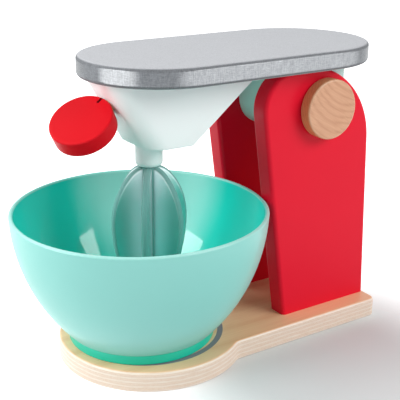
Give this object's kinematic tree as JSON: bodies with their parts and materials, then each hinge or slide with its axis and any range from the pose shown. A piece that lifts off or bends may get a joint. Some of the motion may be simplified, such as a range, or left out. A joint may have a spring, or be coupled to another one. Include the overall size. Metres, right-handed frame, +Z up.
{
  "type": "toy stand mixer",
  "caption": "Toy stand mixer on a wooden base, with a head that tilts back, a turning whisk, a dial and a lift-off bowl.",
  "frame": {"origin": "underside of the base, straight below the whisk's axis", "axes": "+Z up; -Y is the front, where the dial is; +Y is the rear, where the column stands; +X is to the right seen from the front"},
  "size_m": [0.1596, 0.2449, 0.1909],
  "materials": {
    "birch_plywood": "clear satin lacquer, layered edge",
    "grey_ring": "matt grey",
    "red_paint": "satin red paint",
    "screw_steel": "plain",
    "dowel_wood": "bare",
    "silver_paint": "metallic silver paint",
    "white_paint": "satin white paint",
    "knob_wood": "clear satin lacquer",
    "silver_plastic": "glossy silver grey",
    "dial_paint": "satin red paint",
    "teal_plastic": "glossy teal plastic"
  },
  "bodies": {
    "stand": {"base_board": "birch_plywood", "bowl_ring": "grey_ring", "left_panel": "red_paint", "right_panel": "red_paint", "base_screws": "screw_steel", "base_dowels": "dowel_wood"},
    "head": {"top_plate": "silver_paint", "head_housing": "white_paint", "housing_dowels": "dowel_wood", "hinge_block": "white_paint", "block_dowels": "dowel_wood", "pivot_axle": "dowel_wood", "left_knob": "knob_wood", "right_knob": "knob_wood", "neck_collar": "white_paint", "dial_pin": "screw_steel"},
    "dial_unit": {"dial": "dial_paint", "dial_spindle": "dowel_wood"},
    "whisk_unit": {"whisk": "silver_plastic", "whisk_washer": "screw_steel", "whisk_screw": "screw_steel"},
    "bowl_unit": {"bowl": "teal_plastic"}
  },
  "joints": [
    {"name": "head_tilt", "type": "hinge", "parent": "stand", "child": "head", "pos_m": [0, 0.1089, 0.152], "axis": [-1, 0, 0], "range_deg": [0, 50]},
    {"name": "dial_turn", "type": "hinge", "parent": "head", "child": "dial_unit", "pos_m": [0, -0.04333, 0.15319], "axis": [0, -0.8673, -0.4977], "continuous": true},
    {"name": "whisk_spin", "type": "hinge", "parent": "head", "child": "whisk_unit", "pos_m": [0, 0, 0.0874], "axis": [0, 0, 1], "continuous": true},
    {"name": "bowl_lift", "type": "slide", "parent": "stand", "child": "bowl_unit", "axis": [0, -0.1374, 0.9905], "range_m": [0, 0.012]}
  ]
}
